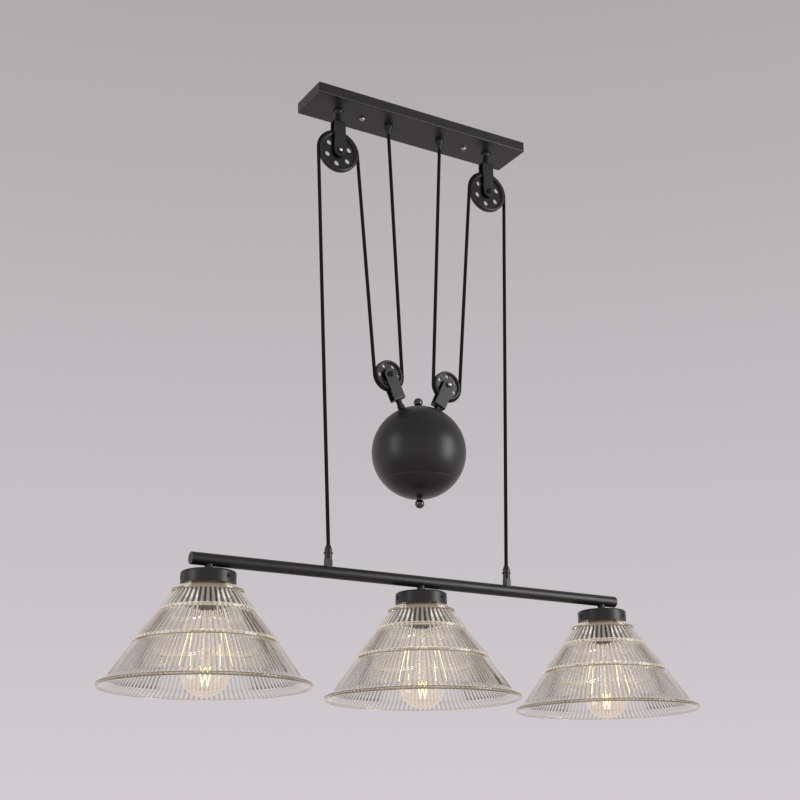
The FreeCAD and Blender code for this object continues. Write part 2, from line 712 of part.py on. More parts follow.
def lower_pulleys():
    """The two pulleys that lean outwards on the ball."""
    screws, axles, axle_nuts, nuts = [], [], [], []
    reach = "lower_reach"
    seat = "lower_reach - lower_rise"
    for side, sign in SIDES:
        lean = f"{sign} * lower_lean"
        x = f"{reach} * sin({lean})"
        z = f"-ball_drop + {reach} * cos({lean})"
        strap = place(
            yoke(f"lower_yoke_{side}", "lower_rise"), x=x, z=z, axis=Y_AXIS, angle=f"180 + {lean}"
        )
        node(strap, f"lower_yoke_{side}")
        wheel = sheave(
            f"lower_sheave_{side}", "lower_rim", "lower_inner", "lower_pitch", "lower_hole", "lower_circle"
        )
        place(wheel, x=x, z=z, axis=Y_AXIS, angle=f"-{side}_turn")
        node(wheel, f"lower_sheave_{side}")
        screw = hanger_screw(f"weight_screw_{side}", f"{seat} + yoke_thick - screw_tip")
        head_x = f"({seat} + yoke_thick) * sin({lean})"
        head_z = f"-ball_drop + ({seat} + yoke_thick) * cos({lean})"
        screws.append(place(screw, x=head_x, z=head_z, axis=Y_AXIS, angle=f"180 + {lean}"))
        axles.append(place(axle(f"lower_axle_{side}"), x=x, z=z, axis=X_AXIS, angle="-90"))
        end = axle_nut(f"lower_axle_nut_{side}")
        y = "-yoke_gap / 2 - yoke_thick"
        axle_nuts.append(place(end, x=x, y=y, z=z, axis=X_AXIS, angle="90"))
        outer = "sqrt(ball_radius ^ 2 - (screw_radius + fit_gap) ^ 2)"
        corner = "nut_flats / sqrt(3)"
        inner = f"sqrt((ball_radius - ball_wall) ^ 2 - ({corner}) ^ 2) - nut_height"
        stack = (
            ("inner", inner, "nut_flats", "nut_height"),
            ("seat", outer, "seat_flats", "seat_height"),
            ("tall", f"{outer} + seat_height", "nut_flats", f"{seat} - {outer} - seat_height"),
        )
        for name, distance, flats, height in stack:
            nut = hex_nut(f"weight_nut_{side}_{name}", flats, height, "screw_radius")
            nut_x = f"({distance}) * sin({lean})"
            nut_z = f"-ball_drop + ({distance}) * cos({lean})"
            nuts.append(place(nut, x=nut_x, z=nut_z, axis=Y_AXIS, angle=lean))
    group("weight_screws", screws)
    group("lower_axles", axles)
    group("lower_axle_nuts", axle_nuts)
    return nuts


# Counterweight: shell and cap round a stack of iron discs on a tie rod

def ball():
    """The spun ball in two pieces, with holes for the tie rod and the two yoke screws."""
    outer, inner, seam = "ball_radius", "(ball_radius - ball_wall)", "seam_drop"
    hole = "(screw_radius + fit_gap)"

    def chord(radius, height):
        return f"sqrt({radius} ^ 2 - {height} ^ 2)"

    above, below = "(seam_drop - seam_edge)", "(seam_drop + seam_edge)"
    shell = lathe(
        "ball_upper",
        [
            (chord(inner, seam), f"-{seam}", "0", "0", -1),
            (f"{chord(outer, seam)} - seam_edge", f"-{seam}"),
            (chord(outer, above), f"-{above}"),
            (hole, chord(outer, hole), "0", "0", 1),
            (hole, chord(inner, hole)),
        ],
    )
    place(shell, z="-ball_drop")
    drills = []
    for side, sign in SIDES:
        drill = cylinder(
            f"ball_drill_{side}",
            "screw_radius + fit_gap",
            "ball_radius * 2",
            z="-ball_drop",
            axis=Y_AXIS,
            angle=f"{sign} * lower_lean",
        )
        drills.append(drill)
    node(drilled("weight_shell", shell, *drills), "weight_shell")
    cap = lathe(
        "weight_cap",
        [
            (hole, f"-{chord(outer, hole)}"),
            (chord(outer, below), f"-{below}", "0", "0", 1),
            (f"{chord(outer, seam)} - seam_edge", f"-{seam}"),
            (chord(inner, seam), f"-{seam}"),
            (hole, f"-{chord(inner, hole)}", "0", "0", -1),
        ],
    )
    node(place(cap, z="-ball_drop"), "weight_cap")


def ballast(nuts):
    """Four iron discs, turned to fit the ball, clamped on the tie rod between two nuts."""
    discs = []
    levels = ("-ballast_half", "-ballast_half / 2", "0", "ballast_half / 2", "ballast_half")
    for i in range(4):
        low, high = levels[i], levels[i + 1]
        path = [
            ("screw_radius", low),
            (f"sqrt(ballast_radius ^ 2 - ({low}) ^ 2)", low),
            (f"sqrt(ballast_radius ^ 2 - ({high}) ^ 2)", high, "0", "0", 1),
            ("screw_radius", high),
        ]
        discs.append(place(lathe(f"disc_{i}", path), z="-ball_drop"))
    group("ballast_discs", discs)
    reach = "ball_radius + finial_rise"
    rod = cylinder("tie_rod", "screw_radius", f"2 * ({reach})", z=f"-ball_drop - ({reach})")
    node(rod, "tie_rod")
    for i, z in enumerate(("-ball_drop + ballast_half", "-ball_drop - ballast_half - nut_height")):
        nut = hex_nut(f"rod_nut_{i}", "nut_flats", "nut_height", "screw_radius")
        nuts.append(place(nut, z=z))
    group("weight_nuts", nuts)
    finials = []
    seat = "sqrt(ball_radius ^ 2 - (screw_radius + fit_gap) ^ 2)"
    for i, turn in enumerate(("0", "180")):
        path = [
            ("screw_radius", seat),
            ("finial_neck", seat),
            ("finial_neck", f"{reach} - sqrt(finial_radius ^ 2 - finial_neck ^ 2)"),
            ("0", f"{reach} + finial_radius", "0", reach, 1),
            ("0", reach),
            ("screw_radius", reach),
        ]
        finials.append(place(lathe(f"finial_{i}", path), z="-ball_drop", axis=X_AXIS, angle=turn))
    group("weight_finials", finials)


# Lamp bar: tube, caps, cord grips and spacers

def bar():
    """The bar tube with holes for cord grips above and spacers below, and its plugged ends."""
    body = place(new_body("bar_tube"), z="-bar_drop")
    rings = [("0", "0", "bar_radius"), ("0", "0", "bar_radius - bar_wall")]
    pad(body, draw(body, "YZ_Plane", circles=rings), "bar_length - 2 * cap_thick", centred=True)
    grips = [("-grip_offset", "0", "grip_thread"), ("grip_offset", "0", "grip_thread")]
    cut(body, draw(body, "XY_Plane", circles=grips), "bar_radius + 1", forward=True)
    spacers = [(x, "0", "nipple_thread") for lamp, x in LAMPS]
    cut(body, draw(body, "XY_Plane", circles=spacers), "bar_radius + 1")
    node(body, "bar_tube")
    caps = []
    for side, sign in SIDES:
        cap = lathe(
            f"end_cap_{side}",
            [
                ("0", "-cap_plug"),
                ("bar_radius - bar_wall", "-cap_plug"),
                ("bar_radius - bar_wall", "0"),
                ("bar_radius", "0"),
                ("bar_radius", "cap_thick - cap_edge"),
                ("bar_radius - cap_edge", "cap_thick"),
                ("0", "cap_thick"),
            ],
        )
        x = f"{sign} * (bar_length / 2 - cap_thick)"
        caps.append(place(cap, x=x, z="-bar_drop", axis=Y_AXIS, angle=f"{sign} * 90"))
    group("bar_end_caps", caps)


def bar_bore(name):
    """A rod of the bar's own size, which shapes what seats on the bar."""
    rod = cylinder(name, "bar_radius", "bar_length", z="-bar_drop", axis=Y_AXIS, angle="90")
    return place(rod, x="-bar_length / 2", z="-bar_drop")


def cord_grips():
    """Cord grips on top of the bar, each with a collar and a nut shaped to the tube."""
    bodies, nuts = [], []
    for side, sign in SIDES:
        x = f"{sign} * grip_offset"
        path = [
            ("cord_bore", "0"),
            ("grip_mouth", "0"),
            ("grip_radius", "-grip_taper"),
            ("grip_radius", "-collar_drop"),
            ("collar_radius", "-collar_drop"),
            ("collar_radius", "-collar_drop - collar_thick"),
            ("grip_radius", "-collar_drop - collar_thick"),
            ("grip_radius", "-grip_length"),
            ("grip_thread", "-grip_length"),
            ("grip_thread", "grip_top - bar_drop + bar_radius - bar_wall - grip_stub"),
            ("cord_bore", "grip_top - bar_drop + bar_radius - bar_wall - grip_stub"),
        ]
        bodies.append(place(lathe(f"grip_{side}", path), x=x, z="-grip_top"))
        height = "bar_drop - grip_top - grip_length"
        nut = place(hex_nut(f"grip_nut_{side}", "grip_flats", height, "grip_thread"), x=x, z="-bar_drop")
        nuts.append(drilled(f"grip_nut_{side}", nut, bar_bore(f"grip_nut_seat_{side}")))
    group("bar_glands", bodies)
    group("bar_gland_nuts", nuts)


def cup_nipples():
    """Spacers between bar and cups, threaded into the tube and into the lampholders."""
    spacers = []
    for lamp, x in LAMPS:
        collar = cylinder(f"collar_{lamp}", "nipple_radius", "cup_top - bar_drop", x=x, z="-cup_top")
        seated = drilled(f"collar_{lamp}", collar, bar_bore(f"collar_seat_{lamp}"))
        thread = cylinder(
            f"thread_{lamp}",
            "nipple_thread",
            "cup_top + cup_wall + nipple_reach - bar_drop - nipple_start",
            x=x,
            z="-cup_top - cup_wall - nipple_reach",
        )
        whole = doc.addObject("Part::Fuse", f"nipple_{lamp}")
        whole.Base = seated
        whole.Tool = thread
        foot = "-cup_top - cup_height"
        bore = cylinder(f"nipple_bore_{lamp}", "nipple_bore", "2 * cup_height", x=x, z=foot)
        spacers.append(drilled(f"nipple_{lamp}", whole, bore))
    group("cup_nipples", spacers)


# Lamps: cup, lampholder, bulb and glass

def lamp_cup(lamp, x):
    """The cup over the neck of the glass, with three screw holes."""
    wall, corner = "cup_wall", "cup_corner"
    bend = f"-cup_top - {corner}"
    path = [
        ("nipple_thread", f"-cup_top - {wall}"),
        (f"cup_radius - {corner}", f"-cup_top - {wall}"),
        (f"cup_radius - {wall}", bend, f"cup_radius - {corner}", bend, -1),
        (f"cup_radius - {wall}", "-cup_top - cup_height"),
        ("cup_radius", "-cup_top - cup_height"),
        ("cup_radius", bend),
        (f"cup_radius - {corner}", "-cup_top", f"cup_radius - {corner}", bend, 1),
        ("nipple_thread", "-cup_top"),
    ]
    cup = lathe(f"lamp_cup_{lamp}", path)
    screw_hole = draw(cup, "XZ_Plane", circles=[("0", "-cup_screw_drop", "plug_radius")])
    first = cut(cup, screw_hole, "2 * cup_radius", forward=True)
    pattern(cup, first, "Z_Axis", 3)
    place(cup, x=x, axis=Z_AXIS, angle="cup_screw_turn")
    node(cup, f"lamp_cup_{lamp}")


def cup_screws():
    """Three flush screws in each cup, whose pins carry the lip of the glass."""
    screws = []
    for lamp, x in LAMPS:
        for i in range(3):
            body = lathe(
                f"cup_screw_{lamp}_{i}",
                [
                    ("0", "neck_radius + fit_gap"),
                    ("cup_screw", "neck_radius + fit_gap"),
                    ("cup_screw", "cup_radius - cup_wall - plug_seat"),
                    ("plug_radius", "cup_radius - cup_wall - plug_seat"),
                    ("plug_radius", "cup_radius - plug_sink"),
                    ("socket_radius", "cup_radius - plug_sink"),
                    ("socket_radius", "cup_radius - plug_sink - socket_depth"),
                    ("0", "cup_radius - plug_sink - socket_depth"),
                ],
            )
            outward = Rotation(Z_AXIS, size("cup_screw_turn") - 90 + 120 * i)
            base = Vector(size(x), 0, -size("cup_screw_drop"))
            body.Placement = Placement(base, outward * Rotation(Y_AXIS, 90))
            screws.append(body)
    group("cup_set_screws", screws)


def lampholders():
    """E27 lampholders: a skirt with a socket, screwed on the spacer's thread."""
    top = "-cup_top - cup_wall"
    holders = []
    for lamp, x in LAMPS:
        path = [
            ("nipple_thread", top),
            ("holder_radius - holder_slope", top),
            ("holder_radius", f"{top} - holder_slope"),
            ("holder_radius", "-holder_end"),
            ("holder_radius - holder_wall", "-holder_end"),
            ("holder_radius - holder_wall", "-holder_end + holder_mouth"),
            ("holder_bore", "-holder_end + holder_mouth + holder_step"),
            ("holder_bore", "-bulb_top"),
            ("0", "-bulb_top"),
            ("0", f"{top} - nipple_reach"),
            ("nipple_thread", f"{top} - nipple_reach"),
        ]
        holders.append(place(lathe(f"holder_{lamp}", path), x=x))
    group("lampholders", holders)


def bulb(lamp, x):
    """A clear bulb with straight flanks and a round end, and the glass stem inside it."""
    centre = "(-bulb_tip + bulb_radius)"
    inner = "(bulb_radius - bulb_wall)"
    cos_a, sin_a = "cos(bulb_taper)", "sin(bulb_taper)"

    def flank_end(radius, neck):
        run = f"({radius} * {cos_a} - {neck}) / {sin_a}"
        return f"{centre} + {radius} * {sin_a} + {run} * {cos_a}"

    neck_in = "(bulb_neck - bulb_wall)"
    path = [
        (f"bulb_radius * {cos_a}", f"{centre} + bulb_radius * {sin_a}", "0", centre, 1),
        ("bulb_neck + bulb_curve", flank_end("bulb_radius", "(bulb_neck + bulb_curve)")),
        ("bulb_neck", "-bulb_top - cap_length"),
        ("bulb_neck", "-bulb_top - bulb_start"),
        ("0", "-bulb_top - bulb_start"),
        ("0", "-bulb_top - stem_end"),
        ("stem_radius", "-bulb_top - stem_end"),
        ("stem_radius", "-bulb_top - cap_length"),
        ("stem_flare", "-bulb_top - stem_root"),
        (neck_in, "-bulb_top - stem_root"),
        (neck_in, "-bulb_top - cap_length"),
        (f"{neck_in} + bulb_curve", flank_end(inner, f"({neck_in} + bulb_curve)")),
        (f"{inner} * {cos_a}", f"{centre} + {inner} * {sin_a}"),
        ("0", f"{centre} - {inner}", "0", centre, -1),
        ("0", "-bulb_tip"),
    ]
    node(place(lathe(f"bulb_{lamp}", path), x=x), f"bulb_{lamp}")


def bulb_caps():
    """The E27 caps of the bulbs, on the neck of the glass."""
    caps = []
    for lamp, x in LAMPS:
        path = [
            ("0", "-bulb_top - cap_slope - contact_height"),
            ("bulb_neck", "-bulb_top - cap_shoulder - contact_height"),
            ("bulb_neck", "-bulb_top - cap_length"),
            ("bulb_cap", "-bulb_top - cap_length"),
            ("bulb_cap", "-bulb_top - cap_shoulder"),
            ("bulb_cap - cap_slope", "-bulb_top - cap_shoulder + cap_slope"),
            ("contact_radius", "-bulb_top - contact_height"),
            ("contact_radius", "-bulb_top"),
            ("0", "-bulb_top"),
        ]
        caps.append(place(lathe(f"bulb_cap_{lamp}", path), x=x))
    group("bulb_caps", caps)


def bulb_filaments():
    """A W of filament in each bulb, between two wires that come out of the glass stem."""
    radius = size("wire_radius")
    rungs = (
        ("wire_pair", "bulb_top + stem_end"),
        ("wire_pair", "bulb_top + stem_end + wire_pair"),
        ("wire_span", "wire_top"),
        ("wire_span / 2", "wire_foot"),
        ("0", "wire_peak"),
    )
    right = [Vector(size(x), 0, -size(z)) for x, z in rungs]
    left = [Vector(-point.x, 0, point.z) for point in reversed(right[:-1])]
    route = Part.makePolygon(right + left)
    section = Part.Wire(Part.makeCircle(radius, right[0], right[1] - right[0]))
    sharp_corners = 1
    wire = route.makePipeShell([section], True, False, sharp_corners)
    feature("bulb_filaments", Part.Compound([wire.translated(Vector(size(x), 0, 0)) for lamp, x in LAMPS]))


def prism_cone(name, ribs, top, foot):
    """A cone whose surface is folded into ribs; top and foot are its (radius, height).

    Both ends are the same star on another scale, so every flank of a rib is flat.
    """
    foot_radius = size(foot[0])
    valley = 1 - size("prism_depth") / foot_radius
    outlines = []
    for radius, height in (top, foot):
        crest = size(radius) - size("prism_gap")
        corners = []
        for i in range(2 * ribs + 1):
            reach = crest if i % 2 == 0 else crest * valley
            angle = math.pi * i / ribs
            corners.append(Vector(reach * math.cos(angle), reach * math.sin(angle), size(height)))
        outlines.append(Part.makePolygon(corners))
    star = doc.addObject("Part::Feature", name)
    star.Shape = Part.makeLoft(outlines, True, True)
    return star


def glass_shade(lamp, x):
    """Pressed glass: lip, neck, three ribbed tiers with a ring above each, and a round rim.

    The glass is turned smooth, then the ribs of each tier are what is left of its cone.
    """
    wall = "glass_wall"
    bead = "-glass_top - lip_height"
    top_one = ("tier_one_start", "-shoulder_drop - ring_reach")
    foot_one = ("tier_one_end", "-ring_one_drop + ring_reach")
    top_two = ("tier_two_start", "-ring_one_drop - ring_reach")
    foot_two = ("tier_two_end", "-ring_two_drop + ring_reach")
    top_three = ("tier_three_start", "-ring_two_drop - ring_reach")
    foot_three = ("tier_three_end", "-tier_three_drop")
    path = [
        (f"neck_radius - {wall}", "-glass_top"),
        (f"neck_radius - {wall}", "-neck_foot - 1"),
        (f"flare_radius - {wall} / 2", f"-flare_drop - {wall}"),
        (f"tier_one_start - {wall}", "-shoulder_drop - ring_reach"),
        (f"tier_one_end - {wall}", "-ring_one_drop"),
        (f"tier_two_end - {wall}", "-ring_two_drop"),
        (f"tier_three_end - {wall}", "-tier_three_drop - rim_seat"),
        ("rim_radius - rim_round", "-rim_drop - rim_round"),
        ("rim_radius - rim_round", "-rim_drop + rim_round", "rim_radius - rim_round", "-rim_drop", 1),
        foot_three,
        top_three,
        ("ring_two_radius", "-ring_two_drop - ring_half"),
        ("ring_two_radius", "-ring_two_drop + ring_half"),
        foot_two,
        top_two,
        ("ring_one_radius", "-ring_one_drop - ring_half"),
        ("ring_one_radius", "-ring_one_drop + ring_half"),
        foot_one,
        top_one,
        ("shoulder_radius", "-shoulder_drop - ring_half"),
        ("shoulder_radius", "-shoulder_drop + ring_half"),
        ("flare_radius", "-flare_drop"),
        ("neck_radius", "-neck_foot"),
        ("neck_radius", bead),
        ("lip_radius", bead),
        ("lip_radius", "-glass_top - lip_edge"),
        ("lip_radius - lip_edge", "-glass_top"),
    ]
    blank = lathe(f"blank_{lamp}", path)
    tiers = ((48, top_one, foot_one), (72, top_two, foot_two), (120, top_three, foot_three))
    rings = []
    for i, (ribs, top, foot) in enumerate(tiers):
        star = prism_cone(f"prisms_{lamp}_{i}", ribs, top, foot)
        cone = bind(
            doc.addObject("Part::Cone", f"cone_{lamp}_{i}"),
            Radius1=f"{foot[0]} + {wall}",
            Radius2=f"{top[0]} + {wall}",
            Height=f"({top[1]}) - ({foot[1]})",
        )
        rings.append(drilled(f"valleys_{lamp}_{i}", place(cone, z=foot[1]), star))
    node(place(drilled(f"glass_shade_{lamp}", blank, *rings), x=x), f"glass_shade_{lamp}")


# Cords: straight runs between tangent points, and wraps round the sheaves

def tangent_from(point, centre, radius, sign):
    """Where a line from a point touches a circle, on the circle's side of that sign of x."""
    away = point - centre
    lean = math.acos(radius / away.Length)
    heading = math.atan2(away.z, away.x)
    touches = [
        centre + Vector(math.cos(heading + turn), 0, math.sin(heading + turn)) * radius
        for turn in (-lean, lean)
    ]
    return max(touches, key=lambda touch: sign * touch.x)


def crossing_line(upper, upper_radius, lower, lower_radius, sign):
    """The ends of the line that touches one circle on one side and the next on the other."""
    span = lower - upper
    lean = math.acos((upper_radius + lower_radius) / span.Length)
    heading = math.atan2(span.z, span.x)
    normals = [
        Vector(math.cos(heading + turn), 0, math.sin(heading + turn)) for turn in (-lean, lean)
    ]
    normal = max(normals, key=lambda candidate: sign * candidate.x)
    return upper + normal * upper_radius, lower - normal * lower_radius


def straight(radius, start, end):
    """A straight stretch of cord between two points."""
    return Part.makeCylinder(radius, (end - start).Length, start, end - start)


def mouth_cut(radius, inside, mouth, above):
    """A leaning stretch from a point to a gland's mouth, cut level where it enters the gland."""
    past = mouth + (mouth - inside).normalize() * radius
    tall = 1000
    low = mouth.z if above else mouth.z - tall
    room = Part.makeBox(tall, tall, tall, Vector(mouth.x - tall / 2, -tall / 2, low))
    return straight(radius, inside, past).common(room)


def wrap(radius, centre, start, end, over):
    """A stretch of cord round a sheave, from start to end, over its top or under its foot."""
    turn = math.degrees((start - centre).getAngle(end - centre))
    middle = (start + end) * 0.5 - centre
    if (middle.z > 0) != over:
        turn = 360 - turn
    axis = (start - centre).cross(Vector(0, 0, 1 if over else -1))
    spin = Y_AXIS if axis.y > 0 else -Y_AXIS
    tangent = spin.cross(start - centre)
    section = Part.Face(Part.Wire(Part.makeCircle(radius, start, tangent)))
    solid = section.revolve(centre, spin, turn)
    return solid, math.radians(turn) * (start - centre).Length


def checked(label, solid, length, radius, bend):
    """Print a cord stretch and compare its volume with its section times its length."""
    ideal = math.pi * radius ** 2 * length
    print(f"{label}: length {length:.1f}, bend radius {bend}, volume / ideal {solid.Volume / ideal:.5f}")
    if abs(solid.Volume / ideal - 1) > 0.002:
        raise ValueError(f"{label} has the wrong volume")


def feature(label, shape):
    """A sub-part whose shape is made from the sheet's values, not from features."""
    part = doc.addObject("Part::Feature", label)
    part.Shape = shape
    part.Placement = Placement()
    return node(part, label)


def cords():
    """One cord at each side, split where it meets a sheave."""
    radius = size("cord_radius")
    upper_wraps, lower_wraps = [], []
    for side, sign in SIDES:
        grip = Vector(sign * size("grip_offset"), 0, -size("grip_top"))
        outlet = Vector(sign * size("feed_offset"), 0, -size("pan_depth + feed_length"))
        upper = Vector(sign * size("hanger_offset"), 0, -size("axle_drop"))
        lower_x = sign * size("lower_reach * sin(lower_lean)")
        lower = Vector(lower_x, 0, size("-ball_drop + lower_reach * cos(lower_lean)"))
        upper_pitch, lower_pitch = size("upper_pitch"), size("lower_pitch")
        leave_bar = tangent_from(grip, upper, upper_pitch, sign)
        leave_upper, reach_lower = crossing_line(upper, upper_pitch, lower, lower_pitch, -sign)
        leave_lower = tangent_from(outlet, lower, lower_pitch, -sign)
        runs = (
            ("lamp_run", mouth_cut(radius, leave_bar, grip, True), leave_bar, grip),
            ("middle_run", straight(radius, leave_upper, reach_lower), leave_upper, reach_lower),
            ("feed_run", mouth_cut(radius, leave_lower, outlet, False), outlet, leave_lower),
        )
        for name, solid, start, end in runs:
            checked(f"{name}_{side}", solid, (end - start).Length, radius, "none")
            feature(f"{name}_{side}", solid)
        over, over_length = wrap(radius, upper, leave_bar, leave_upper, True)
        checked(f"upper_wrap_{side}", over, over_length, radius, upper_pitch)
        upper_wraps.append(over)
        under, under_length = wrap(radius, lower, reach_lower, leave_lower, False)
        checked(f"lower_wrap_{side}", under, under_length, radius, lower_pitch)
        lower_wraps.append(under)
    feature("upper_wraps", Part.Compound(upper_wraps))
    feature("lower_wraps", Part.Compound(lower_wraps))


def core(points, radius, bend):
    """An insulated core along square corners, each rounded to the same bend."""
    pieces = []
    start = points[0]
    for before, corner, after in zip(points, points[1:], points[2:]):
        inward = (corner - before).normalize()
        outward = (after - corner).normalize()
        first = corner - inward * bend
        last = corner + outward * bend
        centre = corner - inward * bend + outward * bend
        section = Part.Face(Part.Wire(Part.makeCircle(radius, first, inward)))
        pieces.append(straight(radius, start, first))
        pieces.append(section.revolve(centre, inward.cross(outward), 90))
        start = last
    pieces.append(straight(radius, start, points[-1]))
    return pieces


def lead(jacket_ends, ways):
    """The end of a cord: its jacket in a gland, and its cores to where they are clamped."""
    radius, bend = size("core_radius"), size("core_bend")
    pieces = [straight(size("cord_radius"), *jacket_ends)]
    for way in ways:
        pieces += core(way, radius, bend)
    return pieces[0].fuse(pieces[1:]).removeSplitter()


def canopy_leads():
    """The cord ends in the outlets, with two cores each to the terminal block."""
    pair = size("core_radius + core_gap")
    deck = -size("strap_thick + core_entry")
    block_ends = {
        -1: size("block_offset - block_length / 2"),
        1: size("block_offset + block_length / 2"),
    }
    leads = []
    for side, sign in SIDES:
        x = sign * size("feed_offset")
        mouth = Vector(x, 0, -size("pan_depth + feed_length"))
        top = Vector(x, 0, -size("pan_depth - jacket_top"))
        ways = []
        for y in (-pair, pair):
            corner = Vector(x, y, deck)
            ways.append([Vector(x, y, top.z), corner, Vector(block_ends[sign], y, deck)])
        leads.append(lead((mouth, top), ways))
    feature("canopy_leads", Part.Compound(leads))


def bar_leads():
    """The cord ends in the bar: the left one feeds two lamps, the right one feeds one."""
    pair = size("core_radius + core_gap")
    lane = -size("bar_drop")
    lamp = size("lamp_pitch")
    clamp = -size("cup_top + cup_wall + nipple_reach")
    grip_end = -size("bar_drop - bar_radius + bar_wall + grip_stub")
    goals = {"left": ((-pair, -lamp), (pair, 0)), "right": ((0, lamp),)}
    for side, sign in SIDES:
        x = sign * size("grip_offset")
        mouth = Vector(x, 0, -size("grip_top"))
        end = Vector(x, 0, grip_end)
        ways = []
        for shift, goal in goals[side]:
            for y in (-pair, pair):
                start = Vector(x + shift, y, grip_end)
                turn = Vector(x + shift, y, lane)
                drop = Vector(goal, y, lane)
                ways.append([start, turn, drop, Vector(goal, y, clamp)])
        feature(f"bar_lead_{side}", lead((mouth, end), ways))


def write_parts():
    """Check every object of the document, then write each node to its own file."""
    doc.recompute()
    for thing in doc.Objects:
        if "Invalid" in thing.State or "Error" in thing.State:
            raise ValueError(f"{thing.Label} is {thing.State}")
    os.makedirs("parts", exist_ok=True)
    for thing in nodes:
        shape = thing.Shape
        if shape.isNull() or not shape.isValid() or not shape.Solids:
            raise ValueError(f"{thing.Label} has no valid solid")
        shape.exportStep(f"parts/{thing.Label}.step")
    print(len(nodes), "nodes")


canopy_pan()
mounting_bracket()
canopy_studs()
feed_glands()
terminal_block()
upper_pulleys()
weight_fasteners = lower_pulleys()
ball()
ballast(weight_fasteners)
bar()
cord_grips()
cup_nipples()
for lamp, x in LAMPS:
    lamp_cup(lamp, x)
    bulb(lamp, x)
    glass_shade(lamp, x)
cup_screws()
lampholders()
bulb_caps()
bulb_filaments()
cords()
canopy_leads()
bar_leads()
write_parts()
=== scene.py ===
import math

import bpy
import numpy as np
from mathutils import Matrix, Vector


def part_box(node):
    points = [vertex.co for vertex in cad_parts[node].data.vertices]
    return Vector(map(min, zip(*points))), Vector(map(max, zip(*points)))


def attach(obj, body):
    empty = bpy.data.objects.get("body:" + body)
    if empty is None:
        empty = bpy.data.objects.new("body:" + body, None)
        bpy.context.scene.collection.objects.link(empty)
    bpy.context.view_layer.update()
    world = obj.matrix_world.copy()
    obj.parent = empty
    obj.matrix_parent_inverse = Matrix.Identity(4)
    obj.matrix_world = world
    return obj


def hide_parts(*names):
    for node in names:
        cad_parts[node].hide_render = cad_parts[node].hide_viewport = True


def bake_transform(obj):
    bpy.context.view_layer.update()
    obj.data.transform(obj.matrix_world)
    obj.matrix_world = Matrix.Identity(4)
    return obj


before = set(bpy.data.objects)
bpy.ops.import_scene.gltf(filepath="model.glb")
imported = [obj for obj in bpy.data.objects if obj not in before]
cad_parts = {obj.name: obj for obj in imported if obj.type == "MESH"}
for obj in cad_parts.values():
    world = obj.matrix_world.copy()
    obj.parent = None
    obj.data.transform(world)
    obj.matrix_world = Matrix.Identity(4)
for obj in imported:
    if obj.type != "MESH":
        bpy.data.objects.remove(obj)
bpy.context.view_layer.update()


# The view: from below and to the left, as from a chair across the room. The pendant hangs in
# front of a plain pale wall.

EYE = Vector((-0.95177, -1.54787, -1.05137))
TURN, TILT, ROLL = math.radians(-30.785), math.radians(-18.634), math.radians(-0.614)
camera = bpy.data.objects.new("camera", bpy.data.cameras.new("camera"))
bpy.context.scene.collection.objects.link(camera)
bpy.context.scene.camera = camera
camera.data.sensor_width = 36
camera.data.lens = 61.46
camera.data.clip_end = 200
back = Vector((math.sin(TURN) * math.cos(TILT), -math.cos(TURN) * math.cos(TILT), math.sin(TILT)))
level = (-back).to_track_quat("-Z", "Y").to_matrix()
camera.matrix_world = Matrix.Translation(EYE) @ (level @ Matrix.Rotation(ROLL, 3, "Z")).to_4x4()


# Cords: two lengths of black braided flex. Each leaves its grip on the bar, goes over an upper
# sheave and under a lower one, and ends in its outlet in the canopy. The ball pulls it taut.

CORD = 0.005
CORD_COLOUR = (0.005, 0.0045, 0.0044, 1)
THREAD_COLOUR = (0.012, 0.011, 0.0105, 1)
BRAID_PITCH = 0.0052
BRAID_ENDS = 10
BRAID_RELIEF = 0.00012
FUZZ_GRAIN = 0.0004
ROUND_STEPS = 20
ARC_CORNERS = 6
TUCK = 0.001
UPPER_AXLE, UPPER_PITCH = (0.129, -0.083), 0.0318
LOWER_AXLE, LOWER_PITCH = (0.04792, -0.410361), 0.0222
GRIP_MOUTH = (0.1406, -0.6616)
LEAVE_BAR = (0.160781, -0.084111)
LEAVE_UPPER = (0.097307, -0.080396)
REACH_LOWER = (0.070046, -0.412179)
LEAVE_LOWER = (0.025747, -0.409259)
OUTLET_MOUTH = (0.0445, -0.032)


class Wire:
    """An output socket of a shader node. Sums, products and powers of wires add Math nodes."""

    def __init__(self, finish, socket):
        self.finish = finish
        self.socket = socket

    def maths(self, operation, *values, **settings):
        settings["operation"] = operation
        return self.finish.node("ShaderNodeMath", settings, dict(enumerate(values)))

    def __add__(self, other):
        return self.maths("ADD", self, other)

    def __radd__(self, other):
        return self.maths("ADD", other, self)

    def __sub__(self, other):
        return self.maths("SUBTRACT", self, other)

    def __rsub__(self, other):
        return self.maths("SUBTRACT", other, self)

    def __mul__(self, other):
        return self.maths("MULTIPLY", self, other)

    def __rmul__(self, other):
        return self.maths("MULTIPLY", other, self)

    def __truediv__(self, other):
        return self.maths("DIVIDE", self, other)

    def __pow__(self, other):
        return self.maths("POWER", self, other)

    def sine(self):
        return self.maths("SINE", self)

    def absolute(self):
        return self.maths("ABSOLUTE", self)

    def larger(self, other):
        return self.maths("MAXIMUM", self, other)

    def wrapped(self, reach):
        return self.maths("WRAP", self, reach, -reach)

    def clamped(self):
        return self.maths("ADD", self, 0, use_clamp=True)


